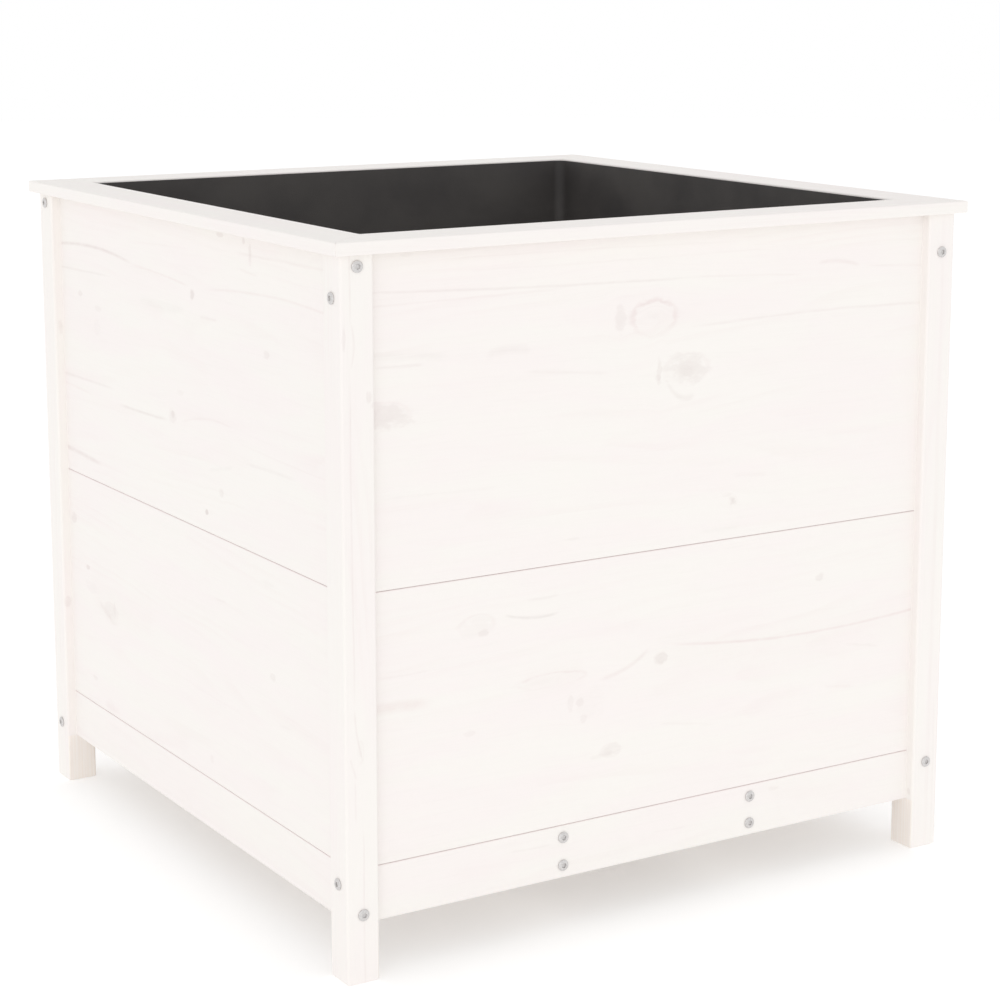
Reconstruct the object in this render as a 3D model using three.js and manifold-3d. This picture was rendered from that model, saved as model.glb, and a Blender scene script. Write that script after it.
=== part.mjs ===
// Square timber planter in millimetres, +Z up, with its origin on the ground at the centre of its base.
// Four grooved corner posts hold tongued and grooved boards on all four sides, a mitred cap frame covers
// their top edges, a slatted floor lies on bearers and ledgers, and a lift-out liner stands on the floor.
// The front faces -Y. Each side is built as the front one and turned about Z into its place.
import * as THREE from "three";
import { mergeVertices } from "three/addons/utils/BufferGeometryUtils.js";
import Module from "manifold-3d";

// Overall sizes
const overallHeight = 780;
const frameSide = 805; // outer face to outer face of the posts, the same both ways
const fitGap = 0.3; // room at a face that seats on, or slides in, another piece

// Corner posts
const postSide = 38;
const postEdgeRadius = 1.5;
const footChamfer = 1.5;
const grooveWall = 4; // wood left in a post between its two grooves

// Side boards
const footHeight = 61; // ground to the underside of the bottom rail
const railHeight = 60;
const lowerBoardHeight = 294;
const boardThickness = 14;
const tongueThickness = 4.4;
const tongueHeight = 5;
const shadowGap = 0.4; // open line left between the outer shoulders of two boards
const boardEase = 0.3; // flat taken off the outer arrises of a board

// Cap frame
const capWidth = 60;
const capThickness = 14;
const capOverhang = 10; // past the outer face of the posts
const capEdgeRadius = 1.6;

// Inner battens, one in the middle of each side
const battenWidth = 40;
const battenThickness = 12;
const innerEase = 1; // flat taken off the arrises of the inner timbers

// Floor
const bearerWidth = 38;
const bearerHeight = 60;
const bearerOffset = 128; // centre of the planter to the centre line of a bearer
const ledgerWidth = 22;
const ledgerHeight = 38;
const slatCount = 7;
const slatGap = 8;
const slatThickness = 14;
const slatEndGap = 1;

// Liner
const linerWall = 3;
const linerClearance = 0.5; // all round, where it passes the cap frame
const linerRimDrop = 2; // rim to the top of the cap frame
const linerDraft = 6; // each side leans in by this much from rim to base
const linerCornerRadius = 16;
const drainRadius = 5;
const drainOffset = 230; // centre of the planter to a drain hole, along the slats

// Screws
const headRadius = 6.5;
const headHeight = 2.5;
const headRimHeight = 1; // straight part of the head's edge, under its dome
const shankRadius = 3.5;
const screwLength = 70; // under the head
const tipLength = 6;
const socketAcrossFlats = 5;
const socketDepth = 3.2;
const boreSlack = 2; // bore past the tip of its screw

// Screws through a post into the ends of the boards behind it, from the nearest board edge. Those near
// the left end of a side, seen from outside, lie close to the edge, and those at the right end pass them.
const leftTopInset = 12;
const leftBottomInset = 14.6;
const rightTopInset = 44.5;
const rightBottomInset = 46;
const bearerScrewPitch = 32; // between the two screws in each end of a bearer

// Facets
const arcSegments = 3;
const linerArcSegments = 5;
const screwSegments = 18;
const domeSegments = 3;
const boreSegments = 12;
const drainSegments = 16;

// Places that follow from the sizes
const capUnderside = overallHeight - capThickness;
const outerFace = frameSide / 2;
const postInnerFace = outerFace - postSide;
const boardSetback = (postSide - boardThickness) / 2; // the boards run in the middle of the posts
const boardOuterFace = outerFace - boardSetback;
const boardInnerFace = boardOuterFace - boardThickness;
const postCentre = outerFace - postSide / 2;
const grooveDepth = postSide - boardSetback - boardThickness - grooveWall;
const boardHalfLength = postInnerFace + grooveDepth;
const railTop = footHeight + railHeight;
const lowerBoardTop = railTop + lowerBoardHeight;
const floorLevel = footHeight + bearerHeight; // underside of the slats
const slatTop = floorLevel + slatThickness;
const innerReach = Math.min(postInnerFace, boardInnerFace - battenThickness); // clear of posts and battens
const slatReach = innerReach - slatEndGap;
const slatWidth = (2 * slatReach - (slatCount - 1) * slatGap) / slatCount;
const slatPitch = slatWidth + slatGap;
const capOuter = outerFace + capOverhang;
const capInner = capOuter - capWidth;
const linerRimHalf = Math.min(capInner, innerReach) - linerClearance;
const linerRim = overallHeight - linerRimDrop;
const boreRadius = (shankRadius + fitGap) / Math.cos(Math.PI / boreSegments);

const overcut = 5; // how far a cutter runs past the face that it opens
const weld = 1e-4;

const wasm = await Module();
wasm.setup();

// A closed three.js geometry as a solid that can be cut.
function solidOf(geometry) {
  const bare = geometry.clone();
  bare.deleteAttribute("normal");
  bare.deleteAttribute("uv");
  const merged = mergeVertices(bare, weld);
  const vertProperties = merged.attributes.position.array;
  const triVerts = new Uint32Array(merged.index.array);
  return new wasm.Manifold(new wasm.Mesh({ numProp: 3, vertProperties, triVerts }));
}

// The solid as a geometry, with a flat normal on each face.
function geometryOf(solid) {
  const mesh = solid.getMesh();
  const geometry = new THREE.BufferGeometry();
  geometry.setAttribute("position", new THREE.BufferAttribute(mesh.vertProperties, mesh.numProp));
  geometry.setIndex(new THREE.BufferAttribute(mesh.triVerts, 1));
  const flat = geometry.toNonIndexed();
  flat.computeVertexNormals();
  return flat;
}

// The body with each of the cutters taken out of it.
function cut(body, cutters) {
  let solid = solidOf(body);
  for (const cutter of cutters) solid = solid.subtract(solidOf(cutter));
  return geometryOf(solid);
}

function boxBetween(low, high) {
  const size = high.map((value, axis) => value - low[axis]);
  const centre = high.map((value, axis) => (value + low[axis]) / 2);
  return new THREE.BoxGeometry(...size).translate(...centre);
}

function polygon(points) {
  return new THREE.Shape(points.map(([x, y]) => new THREE.Vector2(x, y)));
}

// A rectangle about the origin with its corners cut off or rounded.
function easedRectangle(width, height, ease) {
  const x = width / 2;
  const y = height / 2;
  return polygon([
    [ease - x, -y],
    [x - ease, -y],
    [x, ease - y],
    [x, y - ease],
    [x - ease, y],
    [ease - x, y],
    [-x, y - ease],
    [-x, ease - y],
  ]);
}

function roundedSquare(half, radius) {
  const inset = half - radius;
  const shape = new THREE.Shape();
  shape.absarc(inset, inset, radius, 0, Math.PI / 2);
  shape.absarc(-inset, inset, radius, Math.PI / 2, Math.PI);
  shape.absarc(-inset, -inset, radius, Math.PI, 1.5 * Math.PI);
  shape.absarc(inset, -inset, radius, 1.5 * Math.PI, 2 * Math.PI);
  return shape;
}

// A section drawn in Y and Z, run along X for a length about the origin.
function runAlongX(section, length, curveSegments = 1) {
  const geometry = new THREE.ExtrudeGeometry(section, { depth: length, bevelEnabled: false, curveSegments });
  geometry.translate(0, 0, -length / 2);
  const alongY = new THREE.Vector3(0, 1, 0);
  const alongZ = new THREE.Vector3(0, 0, 1);
  const alongX = new THREE.Vector3(1, 0, 0);
  return geometry.applyMatrix4(new THREE.Matrix4().makeBasis(alongY, alongZ, alongX));
}

// Section of a side board in Y and Z, from its outer face at Y = 0 inwards. The inner shoulders of two
// boards meet, and their outer shoulders leave the shadow gap.
function boardSection(bottom, top, hasGroove, hasTongue) {
  const middle = boardThickness / 2;
  const tongue = tongueThickness / 2;
  const groove = tongue + fitGap;
  const outerBottom = bottom + (hasGroove ? shadowGap : 0);
  const points = [
    [0, outerBottom + boardEase],
    [boardEase, outerBottom],
  ];
  if (hasGroove) {
    points.push([middle - groove, outerBottom]);
    points.push([middle - groove, bottom + tongueHeight + fitGap]);
    points.push([middle + groove, bottom + tongueHeight + fitGap]);
    points.push([middle + groove, bottom]);
  }
  points.push([boardThickness, bottom]);
  points.push([boardThickness, top]);
  if (hasTongue) {
    points.push([middle + tongue, top]);
    points.push([middle + tongue, top + tongueHeight]);
    points.push([middle - tongue, top + tongueHeight]);
    points.push([middle - tongue, top]);
  }
  points.push([boardEase, top]);
  points.push([0, top - boardEase]);
  return polygon(points);
}

// Heights of the post screws at one end of a side.
const leftScrewHeights = { top: capUnderside - leftTopInset, bottom: footHeight + leftBottomInset };
const rightScrewHeights = { top: capUnderside - rightTopInset, bottom: footHeight + rightBottomInset };
const bearerScrewHeights = [-1, 1].map((way) => floorLevel - bearerHeight / 2 + (way * bearerScrewPitch) / 2);

// A bore for a screw that is driven along +Y from a face at the given depth.
function boreAlongY(x, face, z) {
  const length = screwLength + boreSlack + overcut;
  const bore = new THREE.CylinderGeometry(boreRadius, boreRadius, length, boreSegments);
  return bore.translate(x, face - overcut + length / 2, z);
}

// The same, driven along X inwards from the post at the left (-1) or right (1) end of a side.
function boreAlongX(end, y, z) {
  const bore = boreAlongY(0, -outerFace, z).rotateZ((end * Math.PI) / 2);
  return bore.translate(0, y, 0);
}

// Bores into both ends of a side's boards, from the faces of the two neighbouring sides.
function endBores() {
  const fromLeft = Object.values(rightScrewHeights).map((z) => boreAlongX(-1, -postCentre, z));
  const fromRight = Object.values(leftScrewHeights).map((z) => boreAlongX(1, -postCentre, z));
  return [...fromLeft, ...fromRight];
}

function bearerBores() {
  const places = [-bearerOffset, bearerOffset].flatMap((x) => bearerScrewHeights.map((z) => [x, z]));
  return places.map(([x, z]) => boreAlongY(x, -boardOuterFace, z));
}

// Corner post at the left end of the front: a stopped groove in each of its two inner sides.
function postGeometry() {
  const section = roundedSquare(postSide / 2 - footChamfer, postEdgeRadius);
  const bevel = { bevelThickness: footChamfer, bevelSize: footChamfer, bevelSegments: 1 };
  const options = { depth: capUnderside, curveSegments: arcSegments, ...bevel };
  const body = new THREE.ExtrudeGeometry(section, options);
  body.translate(-postCentre, -postCentre, footChamfer);
  const grooveHalf = boardThickness / 2 + fitGap;
  const grooveStart = postInnerFace + grooveDepth + fitGap;
  const grooveEnd = postInnerFace - overcut;
  const grooveFoot = footHeight - fitGap;
  const aboveTop = capUnderside + 2 * overcut;
  const frontGroove = boxBetween(
    [-grooveStart, -postCentre - grooveHalf, grooveFoot],
    [-grooveEnd, -postCentre + grooveHalf, aboveTop],
  );
  const sideGroove = boxBetween(
    [-postCentre - grooveHalf, -grooveStart, grooveFoot],
    [-postCentre + grooveHalf, -grooveEnd, aboveTop],
  );
  const reach = outerFace + overcut;
  const spareTop = boxBetween([-reach, -reach, capUnderside], [0, 0, aboveTop]);
  const frontBores = Object.values(leftScrewHeights).map((z) => boreAlongY(-postCentre, -outerFace, z));
  const sideBores = Object.values(rightScrewHeights).map((z) => boreAlongX(-1, -postCentre, z));
  return cut(body, [spareTop, frontGroove, sideGroove, ...frontBores, ...sideBores]);
}

function boardGeometry(section, cutters) {
  const board = runAlongX(section, 2 * boardHalfLength);
  board.translate(0, -boardOuterFace, 0);
  return cut(board, cutters);
}

// Cap board: rounded section, both ends cut to a mitre by drawing them in towards the inner edge.
function capBoardGeometry() {
  const radius = capEdgeRadius;
  const section = new THREE.Shape();
  section.absarc(radius, capUnderside + radius, radius, Math.PI, 1.5 * Math.PI);
  section.absarc(capWidth - radius, capUnderside + radius, radius, 1.5 * Math.PI, 2 * Math.PI);
  section.absarc(capWidth - radius, overallHeight - radius, radius, 0, Math.PI / 2);
  section.absarc(radius, overallHeight - radius, radius, Math.PI / 2, Math.PI);
  const cap = runAlongX(section, 2 * capOuter, arcSegments);
  const mitreRoom = fitGap / 2 / Math.SQRT1_2;
  const position = cap.attributes.position;
  for (let i = 0; i < position.count; i += 1) {
    const end = Math.sign(position.getX(i));
    position.setX(i, end * (capOuter - position.getY(i) - mitreRoom));
  }
  return geometryOf(solidOf(cap.translate(0, -capOuter, 0)));
}

// Upright batten behind the middle of the boards, from the floor to the cap frame.
function battenGeometry() {
  const batten = new THREE.ExtrudeGeometry(easedRectangle(battenWidth, battenThickness, innerEase), {
    depth: capUnderside - floorLevel,
    bevelEnabled: false,
  });
  const depth = boardInnerFace - fitGap - battenThickness / 2;
  return geometryOf(solidOf(batten.translate(0, -depth, floorLevel)));
}

// Screw along +Y with the underside of its head at Y = 0: domed head, hexagon socket, pointed shank.
function screwGeometry() {
  const domeRise = headHeight - headRimHeight;
  const profile = [new THREE.Vector2(0, -headHeight)];
  for (let i = 1; i <= domeSegments; i += 1) {
    const turn = (i / domeSegments) * (Math.PI / 2);
    const radius = headRadius * Math.sin(turn);
    profile.push(new THREE.Vector2(radius, -headRimHeight - domeRise * Math.cos(turn)));
  }
  profile.push(new THREE.Vector2(headRadius, 0));
  profile.push(new THREE.Vector2(shankRadius, 0));
  profile.push(new THREE.Vector2(shankRadius, screwLength - tipLength));
  profile.push(new THREE.Vector2(0, screwLength));
  const body = new THREE.LatheGeometry(profile, screwSegments);
  const socketRadius = socketAcrossFlats / 2 / Math.cos(Math.PI / 6);
  const socketLength = socketDepth + overcut;
  const socket = new THREE.CylinderGeometry(socketRadius, socketRadius, socketLength, 6);
  socket.translate(0, -headHeight + socketDepth - socketLength / 2, 0);
  return cut(body, [socket]);
}

// Bearer under the slats, front to back, screwed through both bottom rails.
function bearerGeometry() {
  const bearer = runAlongX(easedRectangle(bearerWidth, bearerHeight, innerEase), 2 * (boardInnerFace - fitGap));
  bearer.rotateZ(Math.PI / 2);
  bearer.translate(0, 0, floorLevel - bearerHeight / 2);
  const fromFront = bearerScrewHeights.map((z) => boreAlongY(0, -boardOuterFace, z));
  const fromBack = bearerScrewHeights.map((z) => boreAlongY(0, -boardOuterFace, z).rotateZ(Math.PI));
  return cut(bearer, [...fromFront, ...fromBack]);
}

// Ledger along the bottom rail of the left or right side, between the posts, level with the bearers.
function ledgerGeometry() {
  const length = 2 * (postInnerFace - slatEndGap);
  const ledger = runAlongX(easedRectangle(ledgerWidth, ledgerHeight, innerEase), length);
  ledger.rotateZ(Math.PI / 2);
  return geometryOf(solidOf(ledger.translate(0, 0, floorLevel - ledgerHeight / 2)));
}

function slatGeometry() {
  const slat = runAlongX(easedRectangle(slatWidth, slatThickness, innerEase), 2 * slatReach);
  return geometryOf(solidOf(slat));
}

// Upright prism of a rounded square that leans in evenly from its top to its foot.
function draftedPrism(topHalf, radius, draft, foot, top) {
  const options = { depth: top - foot, bevelEnabled: false, curveSegments: linerArcSegments };
  const prism = new THREE.ExtrudeGeometry(roundedSquare(topHalf, radius), options);
  const position = prism.attributes.position;
  for (let i = 0; i < position.count; i += 1) {
    const lean = 1 - (draft / topHalf) * (1 - position.getZ(i) / (top - foot));
    position.setX(i, position.getX(i) * lean);
    position.setY(i, position.getY(i) * lean);
  }
  return prism.translate(0, 0, foot);
}

// Open-topped liner with leaning walls, rounded corners and drain holes over gaps in the floor.
function linerGeometry() {
  const body = draftedPrism(linerRimHalf, linerCornerRadius, linerDraft, slatTop, linerRim);
  const innerHalf = linerRimHalf - linerWall;
  const innerRadius = linerCornerRadius - linerWall;
  const hollow = draftedPrism(innerHalf, innerRadius, linerDraft, slatTop + linerWall, linerRim);
  const mouth = new THREE.ExtrudeGeometry(roundedSquare(innerHalf, innerRadius), {
    depth: overcut,
    bevelEnabled: false,
    curveSegments: linerArcSegments,
  });
  mouth.translate(0, 0, linerRim);
  const drainDepth = linerWall + 2 * overcut;
  const drains = drainPlaces().map(([x, y]) => {
    const drain = new THREE.CylinderGeometry(drainRadius, drainRadius, drainDepth, drainSegments);
    return drain.rotateX(Math.PI / 2).translate(x, y, slatTop + linerWall / 2);
  });
  return cut(body, [hollow, mouth, ...drains]);
}

// Drain holes lie over the second gap between slats from the front and from the back.
function drainPlaces() {
  const gapPlace = slatReach - 2 * slatPitch + slatGap / 2;
  return [-1, 1].flatMap((side) => [
    [side * drainOffset, -gapPlace],
    [side * drainOffset, gapPlace],
  ]);
}

// Finishes
const whitePaint = { color: 0xf8f4f1, roughness: 0.62, metalness: 0 };
const darkPlastic = { color: 0x474040, roughness: 0.6, metalness: 0 };
const zincSteel = { color: 0xb9b5b1, roughness: 0.38, metalness: 0.9 };

function piece(name, geometry, finish) {
  const mesh = new THREE.Mesh(geometry, new THREE.MeshStandardMaterial(finish));
  mesh.name = name;
  return mesh;
}

const planter = new THREE.Group();

// Sides, each with the post at its left end, in order round the planter as seen from above.
const sides = [
  { name: "front", post: "front_left_post", holdsBearers: true },
  { name: "right", post: "front_right_post", holdsBearers: false },
  { name: "back", post: "back_right_post", holdsBearers: true },
  { name: "left", post: "back_left_post", holdsBearers: false },
];

function addScrew(parent, name, x, face, z) {
  const screw = piece(name, screwGeometry(), zincSteel);
  screw.position.set(x, face - fitGap, z);
  parent.add(screw);
}

function addPostScrews(parent, name) {
  for (const [level, z] of Object.entries(leftScrewHeights)) {
    addScrew(parent, `${name}_left_${level}_screw`, -postCentre, -outerFace, z);
  }
  for (const [level, z] of Object.entries(rightScrewHeights)) {
    addScrew(parent, `${name}_right_${level}_screw`, postCentre, -outerFace, z);
  }
}

function addBearerScrews(parent, name) {
  for (const [end, x] of [["left", -bearerOffset], ["right", bearerOffset]]) {
    addScrew(parent, `${name}_bearer_${end}_lower_screw`, x, -boardOuterFace, bearerScrewHeights[0]);
    addScrew(parent, `${name}_bearer_${end}_upper_screw`, x, -boardOuterFace, bearerScrewHeights[1]);
  }
}

function addBoards(parent, name, holdsBearers) {
  const bores = holdsBearers ? [...endBores(), ...bearerBores()] : endBores();
  const rail = boardSection(footHeight, railTop, false, true);
  const lower = boardSection(railTop, lowerBoardTop, true, true);
  const upper = boardSection(lowerBoardTop, capUnderside, true, false);
  parent.add(piece(`${name}_bottom_rail`, boardGeometry(rail, bores), whitePaint));
  parent.add(piece(`${name}_lower_board`, boardGeometry(lower, bores), whitePaint));
  parent.add(piece(`${name}_upper_board`, boardGeometry(upper, bores), whitePaint));
}

sides.forEach(({ name, post, holdsBearers }, turn) => {
  const side = new THREE.Group();
  side.rotation.z = (turn * Math.PI) / 2;
  side.add(piece(post, postGeometry(), whitePaint));
  addBoards(side, name, holdsBearers);
  side.add(piece(`${name}_batten`, battenGeometry(), whitePaint));
  side.add(piece(`${name}_cap_board`, capBoardGeometry(), whitePaint));
  addPostScrews(side, name);
  if (holdsBearers) addBearerScrews(side, name);
  planter.add(side);
});

const ledgerPlace = boardInnerFace - fitGap - ledgerWidth / 2;
for (const [name, way] of [["left", -1], ["right", 1]]) {
  const bearer = piece(`${name}_bearer`, bearerGeometry(), whitePaint);
  bearer.position.x = way * bearerOffset;
  planter.add(bearer);
  const ledger = piece(`${name}_ledger`, ledgerGeometry(), whitePaint);
  ledger.position.x = way * ledgerPlace;
  planter.add(ledger);
}

for (let i = 0; i < slatCount; i += 1) {
  const slat = piece(`floor_slat_${i + 1}`, slatGeometry(), whitePaint);
  const place = -slatReach + slatWidth / 2 + i * slatPitch;
  slat.position.set(0, place, floorLevel + slatThickness / 2);
  planter.add(slat);
}

planter.add(piece("liner", linerGeometry(), darkPlastic));

export default planter;
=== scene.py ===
import math
import random

import bmesh
import bpy
from mathutils import Matrix, Vector


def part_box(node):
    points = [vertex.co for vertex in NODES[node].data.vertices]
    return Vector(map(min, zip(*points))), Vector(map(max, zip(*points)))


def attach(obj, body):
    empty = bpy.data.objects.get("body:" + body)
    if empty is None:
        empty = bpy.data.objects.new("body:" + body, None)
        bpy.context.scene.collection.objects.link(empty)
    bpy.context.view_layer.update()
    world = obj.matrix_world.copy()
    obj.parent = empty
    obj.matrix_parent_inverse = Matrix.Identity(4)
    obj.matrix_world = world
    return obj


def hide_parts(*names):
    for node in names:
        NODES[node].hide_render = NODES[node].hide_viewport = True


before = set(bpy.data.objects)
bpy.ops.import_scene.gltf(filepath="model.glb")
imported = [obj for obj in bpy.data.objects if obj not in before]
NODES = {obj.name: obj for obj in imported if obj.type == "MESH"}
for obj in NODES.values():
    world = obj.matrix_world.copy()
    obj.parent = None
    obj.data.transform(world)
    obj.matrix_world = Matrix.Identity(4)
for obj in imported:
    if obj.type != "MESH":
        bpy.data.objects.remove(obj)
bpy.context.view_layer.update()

# Looks of the square timber planter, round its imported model. Blender's own lengths are in metres. The
# marks in the wood and the small pieces are written in millimetres, and MM turns them into metres.

MM = 0.001
SIDES = ("front", "right", "back", "left")
CORNERS = ("front_left", "front_right", "back_right", "back_left")

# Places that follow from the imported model, in millimetres
BOARD_FACE = -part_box("front_upper_board")[0].y / MM
POST_INNER = -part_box("front_left_post")[1].x / MM
RAIL_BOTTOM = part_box("front_bottom_rail")[0].z / MM
LOWER_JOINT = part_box("front_lower_board")[0].z / MM
UPPER_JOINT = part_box("front_upper_board")[0].z / MM
CAP_LOW, CAP_HIGH = (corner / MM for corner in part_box("front_cap_board"))
CAP_OUTER = -CAP_LOW.y
CAP_WIDTH = CAP_HIGH.y - CAP_LOW.y

# Camera
CAMERA_PLACE = (-1.5267, -2.5211, 1.0487)  # metres
CAMERA_HEADING = 31.731  # degrees from +Y towards +X
CAMERA_TILT = -10.124  # degrees above the horizon
CAMERA_LENS = 87.83  # millimetres
CAMERA_SHIFT = -0.1  # share of the picture's width

# Colours, linear
PAINT_CREAM = (0.928, 0.899, 0.863, 1)
PAINT_PINK = (0.931, 0.881, 0.861, 1)
STAIN_PINK = (0.775, 0.61, 0.60, 1)
STAIN_GREY = (0.56, 0.51, 0.48, 1)
# Bare pine: its real tan tone, made lighter than the paint as painted light for the shaded inner sides of
# the feet
BARE_PALE_WITH_PAINTED_LIGHT = (0.955, 0.905, 0.86, 1)
BARE_DEEP_WITH_PAINTED_LIGHT = (0.93, 0.86, 0.795, 1)
ZINC_LIGHT = (0.70, 0.685, 0.68, 1)
ZINC_DARK = (0.61, 0.595, 0.585, 1)
LINER_LIGHT = (0.072, 0.066, 0.062, 1)
LINER_DARK = (0.050, 0.045, 0.044, 1)

# Light
SKY_STRENGTH = 0.86  # from all round; the rays that show the background see 1
KEY_STRENGTH = 0.36
KEY_ANGLE = 34  # degrees across, so that its shadows are soft
KEY_HEADING = -40  # degrees from -Y towards +X
KEY_HEIGHT = 16  # degrees above the horizon
FLOOR_COLOUR = (0.93, 0.93, 0.93, 1)
FLOOR_LIFT = 0.23  # light that the floor gives off, so that it is nearly white outside the shadow
FLOOR_RADIUS = 14  # metres
FLOOR_CORNERS = 96

# Pine, in millimetres
RING_WIDTH = 6.0
RING_DRIFT = 4.0  # ring widths, by which slow noise shifts the rings
PITH_OFFSET = 90.0  # in the middle of a piece, the pith lies where depth is minus this
PITH_SLANT = 0.03  # change of that depth along the piece
SLOW_WANDER = 6.0  # how far a line of the grain strays from its course
QUICK_WANDER = 2.6
MARK_WANDER = 0.5  # share of the wander that a streak follows
RIM_RAGGEDNESS = 0.6  # share of a knot's size, by which noise moves its outline
CORE_RAGGEDNESS = 2.2  # the same for the edge of its dark middle
STREAK_FADE = 0.18  # share of a streak's length over which each of its ends thins out

# How strongly the wood shows through its paint
PINK_STRENGTH = 0.30
RING_PINK = 0.22
KNOT_PINK = 0.28
GREY_STRENGTH = 0.20
FIBRE_GREY = 0.7
RIM_GREY = 0.4
KNOT_GREY = 0.75
# Pink along the joints between side boards: partly paint rubbed thin at the board edges, partly painted
# shade that widens the dark line of the joint.
JOINT_WEAR_AND_SHADE = 0.38
JOINT_FADE = (1.4, 0.3)  # distances from a joint between boards at which its stain starts and is full

# Bare wood of the feet, in millimetres
INNER_FADE = (1.3, 0.5)  # distances from an inner side at which bare wood starts and is full
FOOT_FADE = 1.5  # each way from the underside of the rail
NORMAL_LIMIT = 0.7  # size of a normal's X above which a face of a post looks along X

# Marks that are drawn from a seed, in millimetres
MARK_AREA = 45000  # square millimetres to one knot and one streak
END_MARGIN = 20
EDGE_MARGIN = 8
STREAK_HALF_WIDTH = 1.4
STREAK_GREY = 0.2
SEED_STEP = 1.37  # between the noises of one piece and the next

# Relief of each surface, in millimetres
WOOD_RELIEF = 0.06
JOINT_RELIEF = 0.04
ZINC_RELIEF = 0.04
LINER_RELIEF = 0.2

# Screws, in millimetres
HEAD_HEIGHT = 2.5
RIM_HEIGHT = 1.0  # straight part of the head's edge, under its dome
DOME_ANGLES = (38, 50, 62, 73, 82, 90)  # degrees from the screw's axis, for the rings of its dome
HEAD_CHAMFER = 0.2
SOCKET_APOTHEM = 2.5
SOCKET_DEPTH = 2.0
SOCKET_CONE = 0.4  # depth of the drill point under the socket
SOCKET_POINT = 0.3  # radius that the drill point ends in
SOCKET_RIM = (0.45, 0.22)  # depths between which the mouth of the socket flares
SOCKET_FLARE = 1.07
SHANK_RADIUS = 3.5
FILLET_WIDTH = 0.25  # of the cone between the shank and the underside of the head
FILLET_DEPTH = 0.3
ROOT_RADIUS = 2.5
THREAD_START = 24  # from the top of the head
THREAD_RUNOUT = 1  # each way from there, between the plain shank and the first ridge
THREAD_PITCH = 3.5
THREAD_RIDGE = 0.3  # half the width of the ridge, as a share of the pitch
THREAD_RINGS = 5  # rings of points in one pitch
TIP_LENGTH = 6
TIP_RADIUS = 0.2
SCREW_SEGMENTS = 36  # a multiple of 6, so that the socket has its corners
SHARP_ANGLE = 38  # degrees between two faces that keep the edge between them sharp

# Paint in the joints, in millimetres
JOINT_ROOM = 0.3  # gap that the paint fills
BEAD_REACH = 0.7  # over the board, and out along the post
BEAD_HOLLOW = ((0.42, 0.12), (0.175, 0.34))  # its hollow face between those two edges
BEAD_ROOT = 0.4  # into the gap
BEAD_CLEARANCE = 0.02  # from the faces of the wood
GLUE_INSET = 0.2
GLUE_THICKNESS = 0.28
CAP_EASE = 1.4  # corners cut off the glue line, inside the rounded edges of the cap


# ---------------------------------------------------------------- arithmetic with shader sockets


def connect(tree, value, socket):
    """Gives an input socket its value, which is a field or a plain number or colour."""
    if isinstance(value, Field):
        tree.links.new(value.socket, socket)
    else:
        socket.default_value = value


class Field:
    """A number or colour that varies over a surface. Arithmetic with it becomes Math nodes."""

    def __init__(self, tree, socket):
        self.tree = tree
        self.socket = socket

    def math(self, operation, *others):
        node = self.tree.nodes.new("ShaderNodeMath")
        node.operation = operation
        for value, socket in zip((self, *others), node.inputs):
            connect(self.tree, value, socket)
        return Field(self.tree, node.outputs[0])

    def __add__(self, other):
        return self.math("ADD", other)

    def __sub__(self, other):
        return self.math("SUBTRACT", other)

    def __mul__(self, other):
        return self.math("MULTIPLY", other)

    def __truediv__(self, other):
        return self.math("DIVIDE", other)

    def squared(self):
        return self * self

    def root(self):
        return self.math("SQRT")

    def size(self):
        return self.math("ABSOLUTE")

    def above(self, other):
        """The larger of the two."""
        return self.math("MAXIMUM", other)

    def below(self, other):
        """The smaller of the two."""
        return self.math("MINIMUM", other)

    def rise(self, low, high):
        """0 at low, 1 at high and a smooth step between; low may lie above high."""
        node = self.tree.nodes.new("ShaderNodeMapRange")
        node.interpolation_type = "SMOOTHSTEP"
        connect(self.tree, self, node.inputs["Value"])
        connect(self.tree, low, node.inputs["From Min"])
        connect(self.tree, high, node.inputs["From Max"])
        return Field(self.tree, node.outputs[0])


def node_group(name, inputs, outputs, formula):
    """A node group whose output fields are what formula makes of its input fields."""
    tree = bpy.data.node_groups.new(name, "ShaderNodeTree")
    for label in inputs:
        tree.interface.new_socket(label, in_out="INPUT", socket_type="NodeSocketFloat")
    for label in outputs:
        tree.interface.new_socket(label, in_out="OUTPUT", socket_type="NodeSocketFloat")
    source = tree.nodes.new("NodeGroupInput")
    sink = tree.nodes.new("NodeGroupOutput")
    results = formula(*(Field(tree, source.outputs[label]) for label in inputs))
    for label, result in zip(outputs, results):
        connect(tree, result, sink.inputs[label])
    return tree


def use(shared, tree, *values):
    """The outputs of a node group for these inputs."""
    node = tree.nodes.new("ShaderNodeGroup")
    node.node_tree = shared
    for value, socket in zip(values, node.inputs):
        connect(tree, value, socket)
    return [Field(tree, socket) for socket in node.outputs]


def noise(place, length, width, seed, detail=2.0):
    """Smooth noise from 0 to 1, with lumps of that length along the grain and that width across it."""
    along, across, depth = place
    tree = along.tree
    vector = tree.nodes.new("ShaderNodeCombineXYZ")
    scaled = (along / length + seed, across / width + seed, depth / width)
    for value, socket in zip(scaled, vector.inputs):
        connect(tree, value, socket)
    node = tree.nodes.new("ShaderNodeTexNoise")
    tree.links.new(vector.outputs[0], node.inputs["Vector"])
    node.inputs["Scale"].default_value = 1.0
    node.inputs["Detail"].default_value = detail
    return Field(tree, node.outputs[0])


def mix_colour(tree, factor, first, second):
    """The colour between first and second; each is a colour or the field of an earlier mix."""
    node = tree.nodes.new("ShaderNodeMix")
    node.data_type = "RGBA"
    connect(tree, factor, node.inputs["Factor"])
    for name, value in (("A", first), ("B", second)):
        connect(tree, value, next(s for s in node.inputs if s.name == name and s.type == "RGBA"))
    return Field(tree, next(s for s in node.outputs if s.type == "RGBA"))


def new_material(name):
    material = bpy.data.materials.new(name)
    material.use_nodes = True
    return material, material.node_tree, material.node_tree.nodes["Principled BSDF"]


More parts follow.
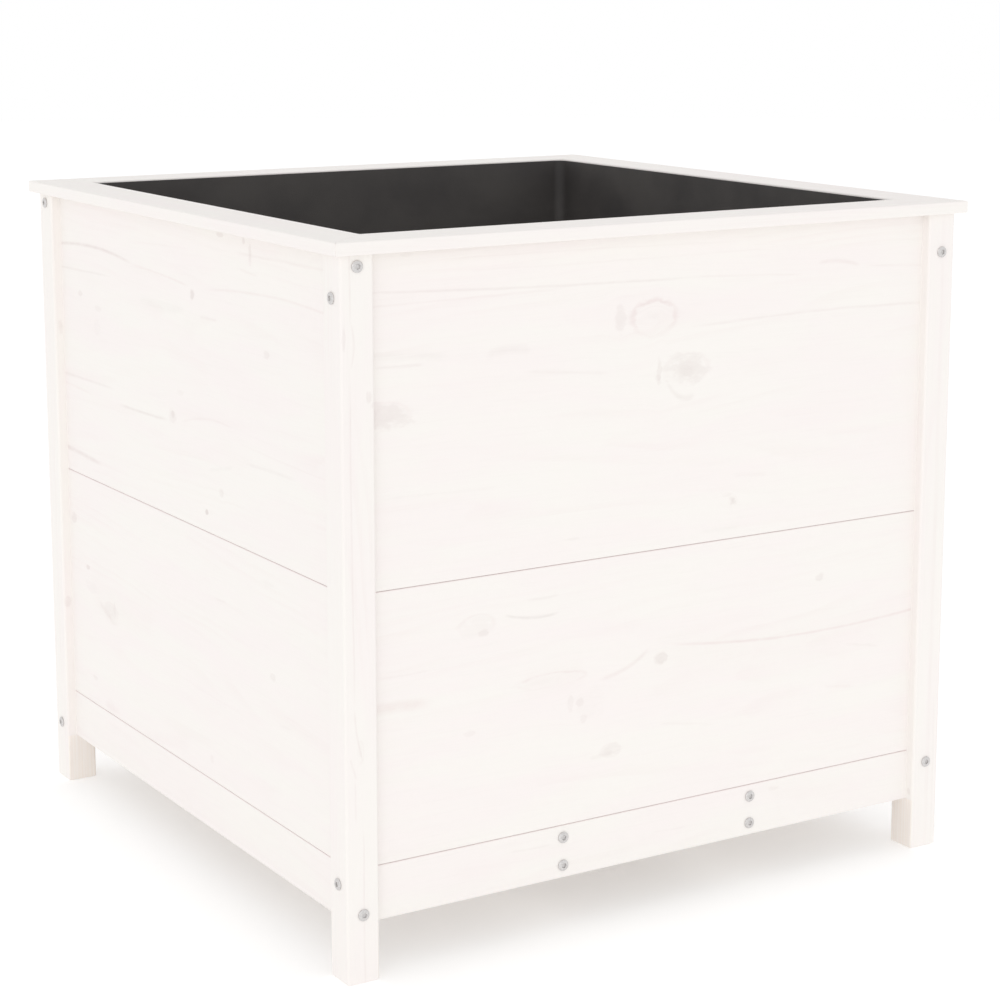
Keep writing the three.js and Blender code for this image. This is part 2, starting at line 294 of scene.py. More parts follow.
def coordinates(tree, kind):
    """X, Y and Z of that kind of texture coordinate."""
    source = tree.nodes.new("ShaderNodeTexCoord")
    split = tree.nodes.new("ShaderNodeSeparateXYZ")
    tree.links.new(source.outputs[kind], split.inputs[0])
    return [Field(tree, socket) for socket in split.outputs]


def surface_place(tree, axes=(0, 1, 2)):
    """The place of a point on the piece, in millimetres, along each of those axes."""
    place = coordinates(tree, "Object")
    return [place[axis] / MM for axis in axes]


def raise_surface(tree, shader, height, distance):
    """Bump, with height from 0 to 1 standing for that distance in millimetres."""
    bump = tree.nodes.new("ShaderNodeBump")
    bump.inputs["Distance"].default_value = distance * MM
    connect(tree, height, bump.inputs["Height"])
    tree.links.new(bump.outputs[0], shader.inputs["Normal"])


# ---------------------------------------------------------------- marks in the wood

# Marks that show through the paint. A knot is (along, across, half length, half width, core, rim), where
# core and rim say how dark its middle and its outline are. A streak is (start, middle, end, half width,
# pink, grey), where each point is (along, across), and pink and grey say how much of each stain it has.
# Along runs with the boards and across is the height. The pith is where the rings' centre lies across.
FRONT_UPPER = {
    "knots": [
        (-14, 673, 29, 20, 0.14, 1.00),
        (-15, 675, 11, 5, 0.25, 0.00),
        (-58, 675, 7, 15, 0.85, 0.00),
        (32, 614, 30, 17, 1.00, 0.25),
        (31, 611, 12, 8, 0.45, 0.00),
        (-6, 614, 3.5, 18, 0.90, 0.00),
        (-7, 607, 4, 4, 0.50, 0.00),
        (-348, 598, 32, 14, 1.15, 0.30),
        (-363, 618, 4, 5, 0.80, 0.00),
        (97, 458, 6.5, 6, 1.50, 0.20),
        (90, 466, 8, 3, 0.35, 0.00),
        (-322, 761, 9, 3, 0.45, 0.00),
        (-117, 441, 10, 2, 0.35, 0.00),
    ],
    "streaks": [
        ((-420, 728), (-131, 716), (60, 714), 1.4, 0.25, 0.60),
        ((30, 714), (120, 711), (200, 706), 1.2, 0.20, 0.25),
        ((-420, 709), (-240, 711), (-120, 712), 1.2, 0.25, 0.25),
        ((19, 658), (185, 664), (440, 659), 1.5, 0.25, 0.40),
        ((209, 718), (240, 719), (274, 711), 2.2, 0.45, 0.35),
        ((274, 712), (330, 708), (420, 706), 1.3, 0.20, 0.20),
        ((-350, 762), (-125, 763), (10, 766), 1.5, 0.10, 0.25),
        ((-300, 753), (-50, 752), (120, 748), 1.2, 0.10, 0.20),
        ((-300, 742), (0, 738), (200, 742), 1.2, 0.10, 0.15),
        ((-400, 662), (-308, 656), (-262, 651), 4.5, 0.00, 0.40),
        ((-360, 648), (-330, 647), (-298, 646), 1.6, 0.20, 0.45),
        ((-229, 649), (-197, 653), (-168, 651), 5.0, 0.05, 0.50),
        ((-185, 629), (-125, 623), (-66, 617), 1.6, 0.15, 0.25),
        ((94, 489), (120, 486), (148, 483), 2.5, 0.10, 0.25),
        ((2, 604), (12, 591), (44, 586), 3.2, 0.15, 0.60),
        ((50, 427), (80, 427), (110, 428), 4.0, 0.00, 0.30),
        ((-360, 512), (-290, 510), (-200, 508), 2.0, 0.05, 0.20),
    ],
    "pith": 560,
}
FRONT_LOWER = {
    "knots": [
        (0, 290, 8.5, 8, 1.40, 0.20),
        (-229, 353, 7, 5, 0.90, 0.00),
        (-238, 362, 22, 12, 0.32, 0.35),
        (-119, 258, 3.5, 10, 0.60, 0.00),
        (-107, 258, 5, 5, 0.80, 0.00),
        (-102, 238, 4.5, 7, 0.60, 0.00),
        (-92, 254, 19, 17, 0.20, 0.05),
        (-66, 196, 12, 8, 0.80, 0.30),
        (-246, 245, 8, 3.5, 0.50, 0.00),
        (225, 353, 6, 5, 1.00, 0.10),
        (-143, 288, 42, 8, 0.05, 0.50),
    ],
    "streaks": [
        ((-8, 308), (175, 290), (440, 304), 1.5, 0.80, 0.30),
        ((-85, 280), (-48, 286), (-12, 306), 2.4, 0.45, 0.30),
        ((262, 268), (290, 263), (318, 257), 1.6, 0.10, 0.30),
        ((-206, 369), (-178, 362), (-132, 363), 1.6, 0.05, 1.10),
        ((-178, 382), (-156, 381), (-132, 383), 1.4, 0.05, 0.55),
        ((-440, 291), (-340, 289), (-288, 286), 5.5, 0.85, 0.15),
        ((-360, 322), (-325, 322), (-292, 323), 1.2, 0.15, 0.25),
        ((-5, 216), (30, 210), (75, 203), 1.5, 0.10, 0.25),
        ((232, 221), (255, 218), (280, 215), 1.6, 0.20, 0.20),
        ((-95, 190), (-80, 191), (-62, 193), 2.2, 0.15, 0.45),
        ((-40, 300), (160, 282), (380, 298), 24, 0.16, 0.00),
        ((-185, 290), (-140, 288), (-95, 288), 16, 0.22, 0.00),
    ],
    "pith": 230,
}
LEFT_UPPER = {
    "knots": [
        (-26, 683, 6, 7, 1.90, 0.20),
        (36, 533, 10, 12, 0.70, 0.20),
        (35, 538, 5, 5, 1.10, 0.00),
        (-176, 746, 4.5, 13, 1.10, 0.00),
        (-161, 756, 4.5, 4, 1.40, 0.00),
        (-101, 758, 9, 3, 1.40, 0.00),
        (306, 647, 8, 4, 1.10, 0.00),
        (-213, 640, 7, 4.5, 0.90, 0.00),
        (11, 566, 9, 3, 0.50, 0.00),
        (-93, 467, 6, 6, 0.85, 0.00),
        (-53, 438, 5, 3.5, 2.80, 0.00),
        (251, 634, 12, 4, 0.55, 0.00),
        (256, 610, 12, 12, 0.30, 0.00),
    ],
    "streaks": [
        ((460, 690), (292, 709), (131, 699), 1.8, 0.55, 1.00),
        ((150, 700), (73, 698), (-22, 691), 1.4, 0.50, 0.15),
        ((-44, 691), (-150, 701), (-420, 694), 1.5, 0.45, 0.20),
        ((440, 672), (316, 676), (205, 678), 1.5, 0.15, 0.65),
        ((156, 725), (70, 731), (-24, 734), 1.3, 0.20, 0.10),
        ((-125, 742), (-200, 743), (-420, 746), 1.8, 0.25, 0.35),
        ((-146, 726), (-170, 724), (-196, 722), 1.3, 0.20, 0.25),
        ((130, 661), (60, 659), (-10, 663), 5.0, 0.00, 0.40),
        ((-42, 660), (-66, 661), (-92, 662), 1.8, 0.20, 0.35),
        ((440, 538), (290, 540), (196, 541), 1.6, 0.15, 0.65),
        ((440, 528), (321, 526), (270, 524), 1.5, 0.40, 0.10),
        ((200, 524), (120, 526), (44, 529), 1.6, 0.25, 0.80),
        ((18, 530), (-48, 545), (-128, 546), 1.3, 0.20, 0.20),
        ((-126, 533), (-230, 529), (-400, 529), 1.2, 0.15, 0.15),
        ((-151, 512), (-210, 514), (-280, 514), 1.8, 0.10, 0.40),
        ((-58, 488), (-92, 495), (-128, 503), 2.2, 0.00, 0.30),
        ((460, 443), (330, 443), (245, 438), 2.6, 0.50, 1.00),
    ],
    "pith": 600,
}
LEFT_LOWER = {
    "knots": [
        (349, 354, 8, 7, 1.20, 0.10),
        (308, 297, 6, 3.5, 1.80, 0.00),
        (236, 253, 20, 14, 0.55, 0.30),
        (225, 262, 4, 10, 0.60, 0.00),
        (297, 274, 20, 9, 0.25, 0.00),
        (-214, 285, 7, 4, 0.80, 0.00),
        (294, 156, 8, 3.5, 0.75, 0.00),
        (248, 131, 20, 8, 0.30, 0.00),
        (-51, 147, 5, 5, 0.60, 0.00),
        (-209, 388, 22, 3.5, 0.30, 0.00),
    ],
    "streaks": [
        ((275, 260), (255, 253), (232, 244), 3.5, 0.15, 0.45),
        ((310, 276), (220, 262), (90, 286), 22, 0.20, 0.00),
        ((-225, 234), (-240, 235), (-256, 236), 1.5, 0.10, 0.20),
        ((60, 225), (-40, 223), (-150, 221), 1.4, 0.10, 0.10),
        ((-70, 341), (-85, 342), (-100, 343), 1.4, 0.10, 0.20),
        ((262, 131), (240, 129), (215, 131), 5.0, 0.40, 0.00),
    ],
    "pith": 190,
}
FRONT_RAIL = {
    "knots": [(165, 110, 9, 3, 0.55, 0.00)],
    "streaks": [
        ((-200, 104), (-170, 102), (-140, 102), 1.4, 0.10, 0.25),
        ((-10, 90), (15, 88), (40, 88), 1.4, 0.10, 0.20),
    ],
    "pith": 60,
}

# On a post, along is the height, and across is X on the faces that look along Y. Those that look along
# X have marks of their own, at Y plus this shift.
SIDE_SHIFT = 2000
FRONT_LEFT_POST = {
    "knots": [
        (681, -399, 13, 2.5, 0.75, 0.00),
        (620, -371, 6, 4, 0.95, 0.00),
        (612, -367, 5, 3, 0.50, 0.00),
        (252, -385, 12, 4, 0.30, 0.30),
    ],
    "streaks": [
        ((840, -392), (735, -392), (690, -392), 1.1, 0.35, 0.45),
        ((700, -392), (680, -388), (650, -392), 1.1, 0.30, 0.35),
        ((660, -392.5), (470, -392.5), (290, -391), 1.1, 0.30, 0.45),
        ((300, -391.5), (265, -388), (240, -381.5), 1.1, 0.35, 0.45),
        ((248, -397), (234, -393), (222, -389), 1.1, 0.25, 0.40),
        ((225, -391), (200, -391), (175, -391), 1.0, 0.20, 0.30),
        ((185, -382), (97, -382.4), (-60, -382), 1.0, 0.30, 0.40),
    ],
    "pith": -250,
}
BACK_LEFT_POST = {
    "knots": [
        (600, -394, 9, 4, 0.90, 0.00),
        (241, -396, 8, 4, 1.00, 0.00),
    ],
    "streaks": [
        ((500, 380 + SIDE_SHIFT), (300, 381 + SIDE_SHIFT), (100, 380 + SIDE_SHIFT), 1.4, 0.20, 0.10),
    ],
    "pith": -300,
}
FRONT_RIGHT_POST = {
    "knots": [(71, -396 + SIDE_SHIFT, 5, 3, 1.10, 0.00)],
    "streaks": [
        ((840, 385), (300, 387), (-60, 386), 2.5, 0.20, 0.10),
        ((200, 394), (90, 395), (-40, 394), 1.5, 0.05, 0.25),
    ],
    "pith": 300,
}


def plain(pith):
    """Grain alone, with the pith at that place across the piece."""
    return {"knots": [], "streaks": [], "pith": pith}


MARKS = {
    "front_upper_board": FRONT_UPPER,
    "front_lower_board": FRONT_LOWER,
    "left_upper_board": LEFT_UPPER,
    "left_lower_board": LEFT_LOWER,
    "front_bottom_rail": FRONT_RAIL,
    "left_bottom_rail": plain(20),
    "front_left_post": FRONT_LEFT_POST,
    "back_left_post": BACK_LEFT_POST,
    "front_right_post": FRONT_RIGHT_POST,
    "front_cap_board": plain(-150),
    "right_cap_board": plain(200),
    "back_cap_board": plain(120),
    "left_cap_board": plain(-220),
}


def scattered_marks(name, low, high):
    """Marks for a piece that the photograph doesn't show, with its own fixed seed."""
    draw = random.Random("marks of " + name)
    length, width = high[0] - low[0], high[1] - low[1]
    knots = []
    streaks = []
    for _ in range(max(1, round(length * width / MARK_AREA))):
        along = draw.uniform(low[0] + END_MARGIN, high[0] - END_MARGIN)
        across = draw.uniform(low[1] + EDGE_MARGIN, high[1] - EDGE_MARGIN)
        half_width = draw.uniform(3, min(20, width / 6))
        core = draw.uniform(0.35, 0.95)
        half_length = half_width * draw.uniform(1.0, 1.6)
        rim = draw.uniform(0, 0.4)
        knots.append((along, across, half_length, half_width, core, rim))
        reach = draw.uniform(60, 220)
        bend = draw.uniform(-6, 6) * min(1, width / 150)
        pink = draw.uniform(0.2, 0.4)
        start = (along - reach, across + bend)
        middle = (along, across + half_width)
        end = (along + reach * 0.7, across - bend)
        streaks.append((start, middle, end, STREAK_HALF_WIDTH, pink, STREAK_GREY))
    return {"knots": knots, "streaks": streaks, "pith": draw.uniform(low[1], high[1])}


# ---------------------------------------------------------------- painted pine

# The amounts that are added to a piece's seed keep the patterns of its noises apart.


def knot_formula(along, across, uneven, cores, rims, bent, *knot):
    """Adds one knot to the cores and rims so far, and bends the grain round it.

    A rim is a broken line, and darker on its upper side.
    """
    centre, height, half_length, half_width, core, rim = knot
    off_across = across - height
    reach = (((along - centre) / half_length).squared() + (off_across / half_width).squared()).root()
    middle = (reach + (uneven - 0.5) * CORE_RAGGEDNESS).rise(1.15, 0.55) * core
    line = (reach + (uneven - 0.5) * RIM_RAGGEDNESS - 1.0).size().rise(0.20, 0.0)
    upper = (off_across / half_width).rise(-1.0, 0.4) * 0.8 + 0.2
    outline = line * upper * uneven.rise(0.25, 0.60) * rim
    return cores + middle, rims + outline, bent - off_across / (reach.squared() * 1.6 + 1.0)


def streak_formula(along, line_height, uneven, pinks, greys, *streak):
    """Adds one dark line along the grain, which thins out towards its ends."""
    constant, slope, bend, low, high, half_width, pink, grey = streak
    off = (line_height - ((along * bend + slope) * along + constant)).size()
    fade = (high - low) * STREAK_FADE
    window = along.rise(low, low + fade) * along.rise(high, high - fade)
    line = off.rise(half_width * 1.8, 0.0) * window * (uneven * 1.3 + 0.25)
    return pinks + line * pink, greys + line * grey


def unevenness_formula(along, across, depth, seed):
    """Noise that breaks up the marks, and how far the lines of the grain wander, in millimetres."""
    place = (along, across, depth)
    uneven = noise(place, length=14, width=9, seed=seed, detail=4.0)
    slow = noise(place, length=150, width=40, seed=seed + 1.7, detail=1.0)
    quick = noise(place, length=22, width=12, seed=seed + 4.3)
    return uneven, (slow - 0.5) * SLOW_WANDER + (quick - 0.5) * QUICK_WANDER


def pine_formula(along, bent, depth, pith, seed):
    """The dark late wood of the rings, fine fibres and slow changes of tone, each from 0 to 1."""
    place = (along, bent, depth)
    from_pith = depth + along * PITH_SLANT + PITH_OFFSET
    radius = ((bent - pith).squared() + from_pith.squared()).root()
    drift = noise(place, length=420, width=70, seed=seed, detail=1.0) * RING_DRIFT
    turn = (radius / RING_WIDTH + drift).math("FRACT")
    clear = noise(place, length=260, width=30, seed=seed + 3.1).rise(0.42, 0.75)
    rings = turn.rise(0.30, 0.88) * turn.rise(1.0, 0.90) * clear
    fibres = noise(place, length=60, width=1.3, seed=seed + 5.3, detail=3.0)
    cloud = noise(place, length=190, width=38, seed=seed + 7.9, detail=3.0).rise(0.30, 0.70)
    return rings, fibres, cloud


KNOT = node_group(
    "knot",
    ("along", "across", "uneven", "cores", "rims", "bent")
    + ("centre", "height", "half_length", "half_width", "core", "rim"),
    ("cores", "rims", "bent"),
    knot_formula,
)
STREAK = node_group(
    "streak",
    ("along", "line_height", "uneven", "pinks", "greys")
    + ("constant", "slope", "bend", "low", "high", "half_width", "pink", "grey"),
    ("pinks", "greys"),
    streak_formula,
)
UNEVENNESS = node_group(
    "unevenness", ("along", "across", "depth", "seed"), ("uneven", "wander"), unevenness_formula
)
PINE = node_group(
    "pine", ("along", "bent", "depth", "pith", "seed"), ("rings", "fibres", "cloud"), pine_formula
)


def curve_through(start, middle, end):
    """The parabola across(along) through three points, as its three coefficients."""
    (x0, z0), (x1, z1), (x2, z2) = start, middle, end
    slope = (z1 - z0) / (x1 - x0)
    bend = ((z2 - z1) / (x2 - x1) - slope) / (x2 - x0)
    return z0 - slope * x0 + bend * x0 * x1, slope - bend * (x0 + x1), bend


def wood_stain(tree, place, marked_across, marks, seed):
    """How pink and how grey the wood shows through its paint, with its fibres and slow tone."""
    along, across, depth = place
    uneven, wander = use(UNEVENNESS, tree, *place, seed)
    cores, rims, bent = 0.0, 0.0, across + wander
    for knot in marks["knots"]:
        cores, rims, bent = use(KNOT, tree, along, marked_across, uneven, cores, rims, bent, *knot)
    pinks, greys = 0.0, 0.0
    line_height = marked_across + wander * MARK_WANDER
    for start, middle, end, *strengths in marks["streaks"]:
        curve = curve_through(start, middle, end)
        ends = sorted((start[0], end[0]))
        streak = (*curve, *ends, *strengths)
        pinks, greys = use(STREAK, tree, along, line_height, uneven, pinks, greys, *streak)
    rings, fibres, cloud = use(PINE, tree, along, bent, depth, marks["pith"], seed)
    knotted = (uneven * 0.9 + 0.45) * cores
    pink = rings * RING_PINK + rims + knotted * KNOT_PINK + pinks
    grey = (fibres - 0.5) * FIBRE_GREY + rims * RIM_GREY + knotted * KNOT_GREY + greys
    return pink * PINK_STRENGTH, grey * GREY_STRENGTH, fibres, cloud


def finish_wood(tree, shader, place, base, pink, grey, fibres, seed):
    """The base colour under its stains, with the sheen and the fine relief of the grain."""
    pinked = mix_colour(tree, pink, base, STAIN_PINK)
    connect(tree, mix_colour(tree, grey, pinked, STAIN_GREY), shader.inputs["Base Color"])
    connect(tree, fibres * 0.12 + 0.46, shader.inputs["Roughness"])
    relief = noise(place, length=30, width=0.8, seed=seed + 9.1)
    raise_surface(tree, shader, relief, WOOD_RELIEF)


def board_paint(name, axes, marks, seed, tones=(PAINT_CREAM, PAINT_PINK)):
    """Thin paint of those two tones over planed pine, stained pink along the joints between side boards,
    partly as paint rubbed thin at their edges and partly as painted shade of the joint line.
    """
    material, tree, shader = new_material(name)
    place = surface_place(tree, axes)
    across = place[1]
    pink, grey, fibres, cloud = wood_stain(tree, place, across, marks, seed)
    # Partly paint rubbed thin, partly painted shade: a pink stain that widens the dark line along each
    # joint.
    joint = (across - LOWER_JOINT).size().below((across - UPPER_JOINT).size())
    worn_and_shaded = joint.rise(*JOINT_FADE) * JOINT_WEAR_AND_SHADE
    paint = mix_colour(tree, cloud, *tones)
    finish_wood(tree, shader, place, paint, pink + worn_and_shaded, grey, fibres, seed)
    return material


def post_paint(name, axes, marks, seed):
    """The same paint on a post, whose foot is nearly bare on its two inner sides, in a wood tone made
    lighter than the paint as painted light for that shaded place.
    """
    material, tree, shader = new_material(name)
    place = surface_place(tree, axes)
    along, across, depth = place
    faces_x = coordinates(tree, "Normal")[0].size().math("GREATER_THAN", NORMAL_LIMIT)
    marked_across = across + faces_x * (depth - across + SIDE_SHIFT)
    pink, grey, fibres, cloud = wood_stain(tree, place, marked_across, marks, seed)
    start, full = (POST_INNER + distance for distance in INNER_FADE)
    inner = across.size().below(depth.size()).rise(start, full)
    # The bare foot gets wood tones that are partly its real tan and partly painted light that brightens
    # this shaded place.
    bare = inner * along.rise(RAIL_BOTTOM + FOOT_FADE, RAIL_BOTTOM - FOOT_FADE)
    lines = noise((along, marked_across, 0.0), length=160, width=2.4, seed=seed + 2.3).rise(0.35, 0.70)
    paint = mix_colour(tree, cloud, PAINT_CREAM, PAINT_PINK)
    foot = mix_colour(tree, lines, BARE_PALE_WITH_PAINTED_LIGHT, BARE_DEEP_WITH_PAINTED_LIGHT)
    finish_wood(tree, shader, place, mix_colour(tree, bare, paint, foot), pink, grey, fibres, seed)
    return material


def joint_paint():
    """Paint that has run into a joint."""
    material, tree, shader = new_material("joint_paint")
    x, y, z = surface_place(tree)
    place = (x + y, z, x - y)
    drift = noise(place, length=40, width=25, seed=3.0, detail=3.0)
    connect(tree, mix_colour(tree, drift, PAINT_PINK, PAINT_CREAM), shader.inputs["Base Color"])
    connect(tree, drift * 0.15 + 0.42, shader.inputs["Roughness"])
    raise_surface(tree, shader, noise(place, length=3, width=3, seed=5.0), JOINT_RELIEF)
    return material


def grain_axes(node):
    """The axes of a piece from its longest to its shortest side; equal sides stay in the order X, Y, Z."""
    low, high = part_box(node)
    size = high - low
    return sorted(range(3), key=lambda axis: -round(size[axis], 4))


def wood_extent(node, axes):
    """The lowest and the highest place on a piece, along and across its grain."""
    low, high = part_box(node)
    return [low[axis] / MM for axis in axes[:2]], [high[axis] / MM for axis in axes[:2]]


def dress(node, material):
    """Gives a CAD piece its material."""
    mesh = NODES[node].data
    mesh.materials.clear()
    mesh.materials.append(material)


def dress_wood(node, seed):
    """Paints a wooden CAD piece, except for the inner timbers, which stay nearly bare, in the same wood
    tones that are lightened as painted light.
    """
    axes = grain_axes(node)
    marks = MARKS.get(node) or scattered_marks(node, *wood_extent(node, axes))
    name = node + "_paint"
    if node.endswith("_post"):
        dress(node, post_paint(name, axes, marks, seed))
    elif node.endswith(("_batten", "_bearer", "_ledger")) or node.startswith("floor_slat"):
        dress(node, board_paint(name, axes, marks, seed, tones=(BARE_PALE_WITH_PAINTED_LIGHT, BARE_DEEP_WITH_PAINTED_LIGHT)))
    else:
        dress(node, board_paint(name, axes, marks, seed))


# ---------------------------------------------------------------- metal and plastic


def zinc_steel():
    """Zinc-plated steel, with a fine spangle."""
    material, tree, shader = new_material("zinc_steel")
    shader.inputs["Metallic"].default_value = 0.85
    spangle = noise(surface_place(tree), length=1.6, width=1.6, seed=2.0, detail=3.0)
    tone = mix_colour(tree, spangle.rise(0.35, 0.65), ZINC_DARK, ZINC_LIGHT)
    connect(tree, tone, shader.inputs["Base Color"])
    connect(tree, spangle * 0.22 + 0.32, shader.inputs["Roughness"])
    raise_surface(tree, shader, spangle, ZINC_RELIEF)
    return material


def liner_plastic():
    """Dark moulded plastic, slightly clouded, with a pebbled skin."""
    material, tree, shader = new_material("liner_plastic")
    place = surface_place(tree)
    cloud = noise(place, length=120, width=90, seed=4.0, detail=3.0)
    pebble = noise(place, length=1.4, width=1.4, seed=6.0)
    tone = mix_colour(tree, cloud.rise(0.30, 0.70), LINER_DARK, LINER_LIGHT)
    connect(tree, tone, shader.inputs["Base Color"])
    connect(tree, pebble * 0.20 + 0.50, shader.inputs["Roughness"])
    raise_surface(tree, shader, pebble, LINER_RELIEF)
    return material


def dress_nodes():
    """Gives all CAD pieces their materials, except for the screws, which add_screws replaces."""
    plastic = liner_plastic()
    for index, node in enumerate(sorted(NODES)):
        if node == "liner":
            dress(node, plastic)
        elif not node.endswith("_screw"):
            dress_wood(node, index * SEED_STEP)


# ---------------------------------------------------------------- pieces made here


def add_solid(name, rings, material):
    """A closed piece through rings of points in millimetres, each with as many points as the next."""
    solid = bmesh.new()
    loops = [[solid.verts.new(Vector(point) * MM) for point in ring] for ring in rings]
    count = len(loops[0])
    for near, far in zip(loops, loops[1:]):
        for i in range(count):
            solid.faces.new((near[i], near[(i + 1) % count], far[(i + 1) % count], far[i]))
    solid.faces.new(loops[0])
    solid.faces.new(loops[-1])
    bmesh.ops.recalc_face_normals(solid, faces=solid.faces)
    mesh = bpy.data.meshes.new(name)
    solid.to_mesh(mesh)
    solid.free()
    mesh.materials.append(material)
    piece = bpy.data.objects.new(name, mesh)
    bpy.context.scene.collection.objects.link(piece)
    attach(piece, "root")
    return piece


def turned(points, quarter_turns):
    """The points of the front side, turned about Z to another side."""
    turn = Matrix.Rotation(quarter_turns * math.pi / 2, 3, "Z")
    return [turn @ Vector(point) for point in points]


def add_paint_beads(material):
    """Paint run into the corner between the boards and the posts, at both ends of each side."""
    section = [
        (BEAD_REACH, BEAD_CLEARANCE),
        *BEAD_HOLLOW,
        (BEAD_CLEARANCE, BEAD_REACH),
        (BEAD_CLEARANCE, JOINT_ROOM - BEAD_CLEARANCE),
        (-BEAD_ROOT, JOINT_ROOM - BEAD_CLEARANCE),
        (-BEAD_ROOT, BEAD_CLEARANCE),
    ]
    cap_underside = CAP_LOW.z
    for turn, side in enumerate(SIDES):
        for end, way in (("left", -1), ("right", 1)):
            foot = [(way * (POST_INNER - u), -BOARD_FACE - v, RAIL_BOTTOM) for u, v in section]
            head = [(x, y, cap_underside) for x, y, _ in foot]
            rings = [turned(foot, turn), turned(head, turn)]
            add_solid(f"{side}_{end}_paint_bead", rings, material)


def add_glue_lines(material):
    """Glue in the mitres of the cap frame, a little below the surface."""
    near, far = GLUE_INSET, CAP_WIDTH - GLUE_INSET
    low, high = CAP_LOW.z + GLUE_INSET, CAP_HIGH.z - GLUE_INSET
    section = [
        (near + CAP_EASE, low),
        (far - CAP_EASE, low),
        (far, low + CAP_EASE),
        (far, high - CAP_EASE),
        (far - CAP_EASE, high),
        (near + CAP_EASE, high),
        (near, high - CAP_EASE),
        (near, low + CAP_EASE),
    ]
    half = GLUE_THICKNESS / 2 / math.sqrt(2)
    for turn, corner in enumerate(CORNERS):
        rings = []
        for way in (-half, half):
            ring = [(t - CAP_OUTER + way, t - CAP_OUTER - way, z) for t, z in section]
            rings.append(turned(ring, turn))
        add_solid(f"{corner}_mitre_glue", rings, material)


def hexagon(apothem, angle):
    """Distance from the centre of a hexagon to its edge in that direction."""
    return apothem / math.cos(angle % (math.pi / 3) - math.pi / 6)


def thread(depth, angle):
    """Radius of the threaded shank at that depth and direction."""
    phase = (depth / THREAD_PITCH - angle / math.tau) % 1
    ridge = max(0, 1 - abs(phase - 0.5) / THREAD_RIDGE)
    return ROOT_RADIUS + (SHANK_RADIUS - ROOT_RADIUS) * ridge


def screw_outline(head_radius, length):
    """Rings of a screw, from its socket over its head to its tip.

    Each ring is its depth below the top of the head, and a function that gives its radius at an angle.
    """

    def round_ring(depth, radius):
        return depth, lambda angle: radius

    def socket_ring(depth, grow):
        return depth, lambda angle: hexagon(SOCKET_APOTHEM, angle) * grow

    def thread_ring(depth):
        return depth, lambda angle: thread(depth, angle)

    dome_rise = HEAD_HEIGHT - RIM_HEIGHT
    rim_bottom, rim_top = SOCKET_RIM
    rings = [
        round_ring(SOCKET_DEPTH + SOCKET_CONE, SOCKET_POINT),
        socket_ring(SOCKET_DEPTH, 1.0),
        socket_ring(rim_bottom, 1.0),
        socket_ring(rim_top, SOCKET_FLARE),
    ]
    for degrees in DOME_ANGLES:
        turn = math.radians(degrees)
        rings.append(round_ring(dome_rise * (1 - math.cos(turn)), head_radius * math.sin(turn)))
    rings += [
        round_ring(HEAD_HEIGHT - HEAD_CHAMFER, head_radius),
        round_ring(HEAD_HEIGHT, head_radius - HEAD_CHAMFER),
        round_ring(HEAD_HEIGHT, SHANK_RADIUS + FILLET_WIDTH),
        round_ring(HEAD_HEIGHT + FILLET_DEPTH, SHANK_RADIUS),
        round_ring(THREAD_START - THREAD_RUNOUT, SHANK_RADIUS),
        round_ring(THREAD_START, ROOT_RADIUS),
    ]
    step = THREAD_PITCH / THREAD_RINGS
    ridge_start = THREAD_START + THREAD_RUNOUT
    thread_end = length - TIP_LENGTH
    count = int((thread_end - ridge_start) / step)
    rings += [thread_ring(ridge_start + i * step) for i in range(count)]
    rings += [round_ring(thread_end, ROOT_RADIUS), round_ring(length, TIP_RADIUS)]
    return rings


def add_screw(node, material):
    """A socket screw in the place of a CAD screw, driven inwards along the longest side of its box."""
    low, high = (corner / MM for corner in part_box(node))
    size = high - low
    centre = (low + high) / 2
    drive = max(range(3), key=lambda axis: size[axis])
    first, second = (axis for axis in range(3) if axis != drive)
    outward = math.copysign(1, centre[drive])
    top = centre[drive] + outward * size[drive] / 2
    start = random.Random("turn of " + node).uniform(0, math.tau)
    rings = []
    for depth, radius_at in screw_outline(size[first] / 2, size[drive]):
        ring = []
        for i in range(SCREW_SEGMENTS):
            angle = math.tau * i / SCREW_SEGMENTS
            point = Vector()
            point[drive] = top - outward * depth
            point[first] = centre[first] + radius_at(angle) * math.cos(angle + start)
            point[second] = centre[second] + radius_at(angle) * math.sin(angle + start)
            ring.append(point)
        rings.append(ring)
    piece = add_solid(node + "_steel", rings, material)
    piece.data.shade_smooth()
    piece.data.set_sharp_from_angle(angle=math.radians(SHARP_ANGLE))
    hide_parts(node)


def add_screws():
    zinc = zinc_steel()
    for node in sorted(NODES):
        if node.endswith("_screw"):
            add_screw(node, zinc)


# ---------------------------------------------------------------- stage, light and camera


def heading(degrees, tilt):
    """The unit direction that many degrees from +Y towards +X, tilted up."""
    turn, rise = math.radians(degrees), math.radians(tilt)
    return Vector((math.sin(turn) * math.cos(rise), math.cos(turn) * math.cos(rise), math.sin(rise)))


def add_camera():
    data = bpy.data.cameras.new("camera")
    data.lens = CAMERA_LENS
    data.shift_y = CAMERA_SHIFT
    camera = bpy.data.objects.new("camera", data)
    camera.location = CAMERA_PLACE
    camera.rotation_euler = heading(CAMERA_HEADING, CAMERA_TILT).to_track_quat("-Z", "Y").to_euler()
    bpy.context.scene.collection.objects.link(camera)
    bpy.context.scene.camera = camera


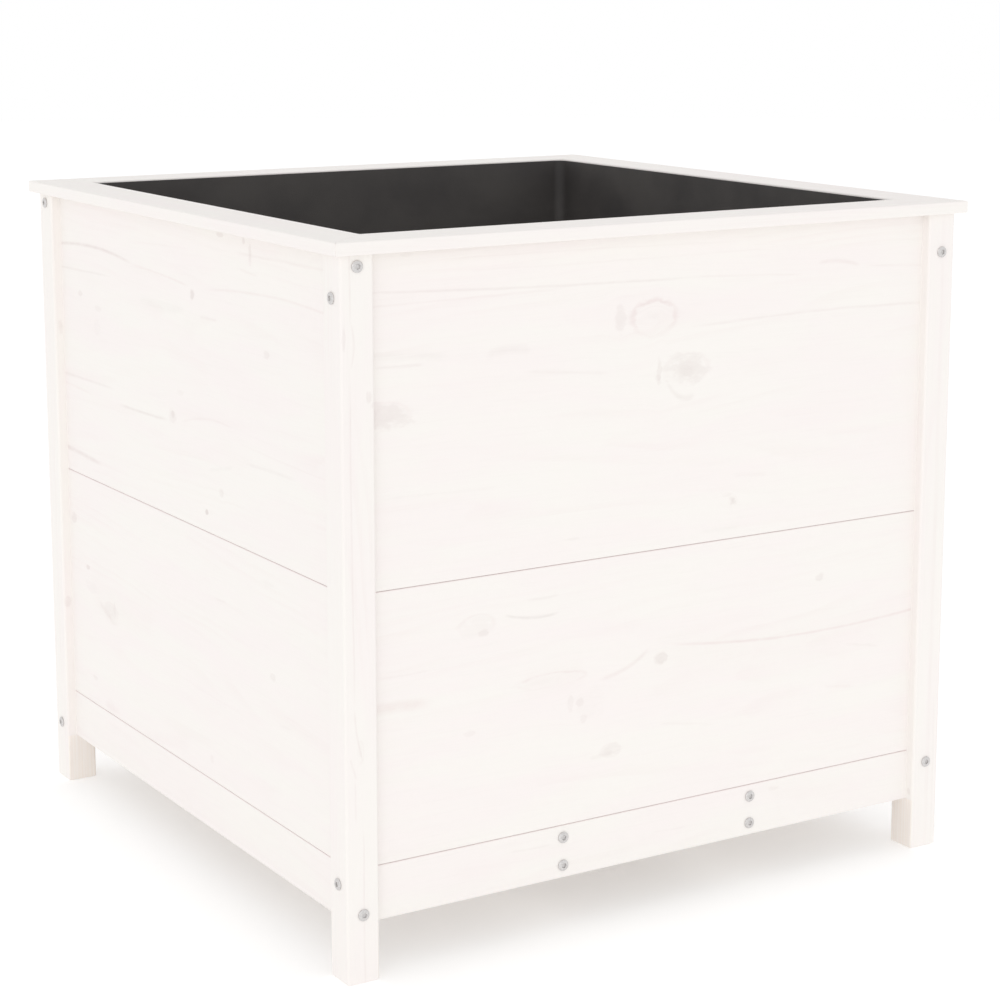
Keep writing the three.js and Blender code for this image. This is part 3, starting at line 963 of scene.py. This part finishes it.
def add_world():
    """Even light all round; the rays that show a background see plain white."""
    world = bpy.data.worlds.new("studio")
    world.use_nodes = True
    tree = world.node_tree
    background = tree.nodes["Background"]
    background.inputs["Color"].default_value = (1, 1, 1, 1)
    path = tree.nodes.new("ShaderNodeLightPath")
    camera = Field(tree, path.outputs["Is Camera Ray"])
    glossy = Field(tree, path.outputs["Is Glossy Ray"])
    through = Field(tree, path.outputs["Is Transmission Ray"])
    strength = camera.above(glossy).above(through) * (1 - SKY_STRENGTH) + SKY_STRENGTH
    connect(tree, strength, background.inputs["Strength"])
    bpy.context.scene.world = world


def floor_material():
    material, _, shader = new_material("floor")
    shader.inputs["Base Color"].default_value = FLOOR_COLOUR
    shader.inputs["Roughness"].default_value = 1.0
    shader.inputs["Specular IOR Level"].default_value = 0
    shader.inputs["Emission Color"].default_value = (1, 1, 1, 1)
    shader.inputs["Emission Strength"].default_value = FLOOR_LIFT
    return material


def add_floor():
    """A round plain floor under the object."""
    mesh = bpy.data.meshes.new("floor")
    angles = [math.tau * i / FLOOR_CORNERS for i in range(FLOOR_CORNERS)]
    points = [(FLOOR_RADIUS * math.cos(angle), FLOOR_RADIUS * math.sin(angle), 0) for angle in angles]
    mesh.from_pydata(points, [], [list(range(FLOOR_CORNERS))])
    mesh.materials.append(floor_material())
    floor = bpy.data.objects.new("floor", mesh)
    bpy.context.scene.collection.objects.link(floor)


def add_key():
    """A soft lamp that makes the front and the left side a little lighter than the others."""
    data = bpy.data.lights.new("key", "SUN")
    data.angle = math.radians(KEY_ANGLE)
    data.energy = KEY_STRENGTH
    key = bpy.data.objects.new("key", data)
    away = heading(180 - KEY_HEADING, KEY_HEIGHT)
    key.rotation_euler = (-away).to_track_quat("-Z", "Y").to_euler()
    bpy.context.scene.collection.objects.link(key)


add_camera()
add_world()
add_floor()
add_key()
dress_nodes()
add_screws()
joint_film = joint_paint()
add_paint_beads(joint_film)
add_glue_lines(joint_film)
bpy.context.scene.view_settings.view_transform = "Standard"
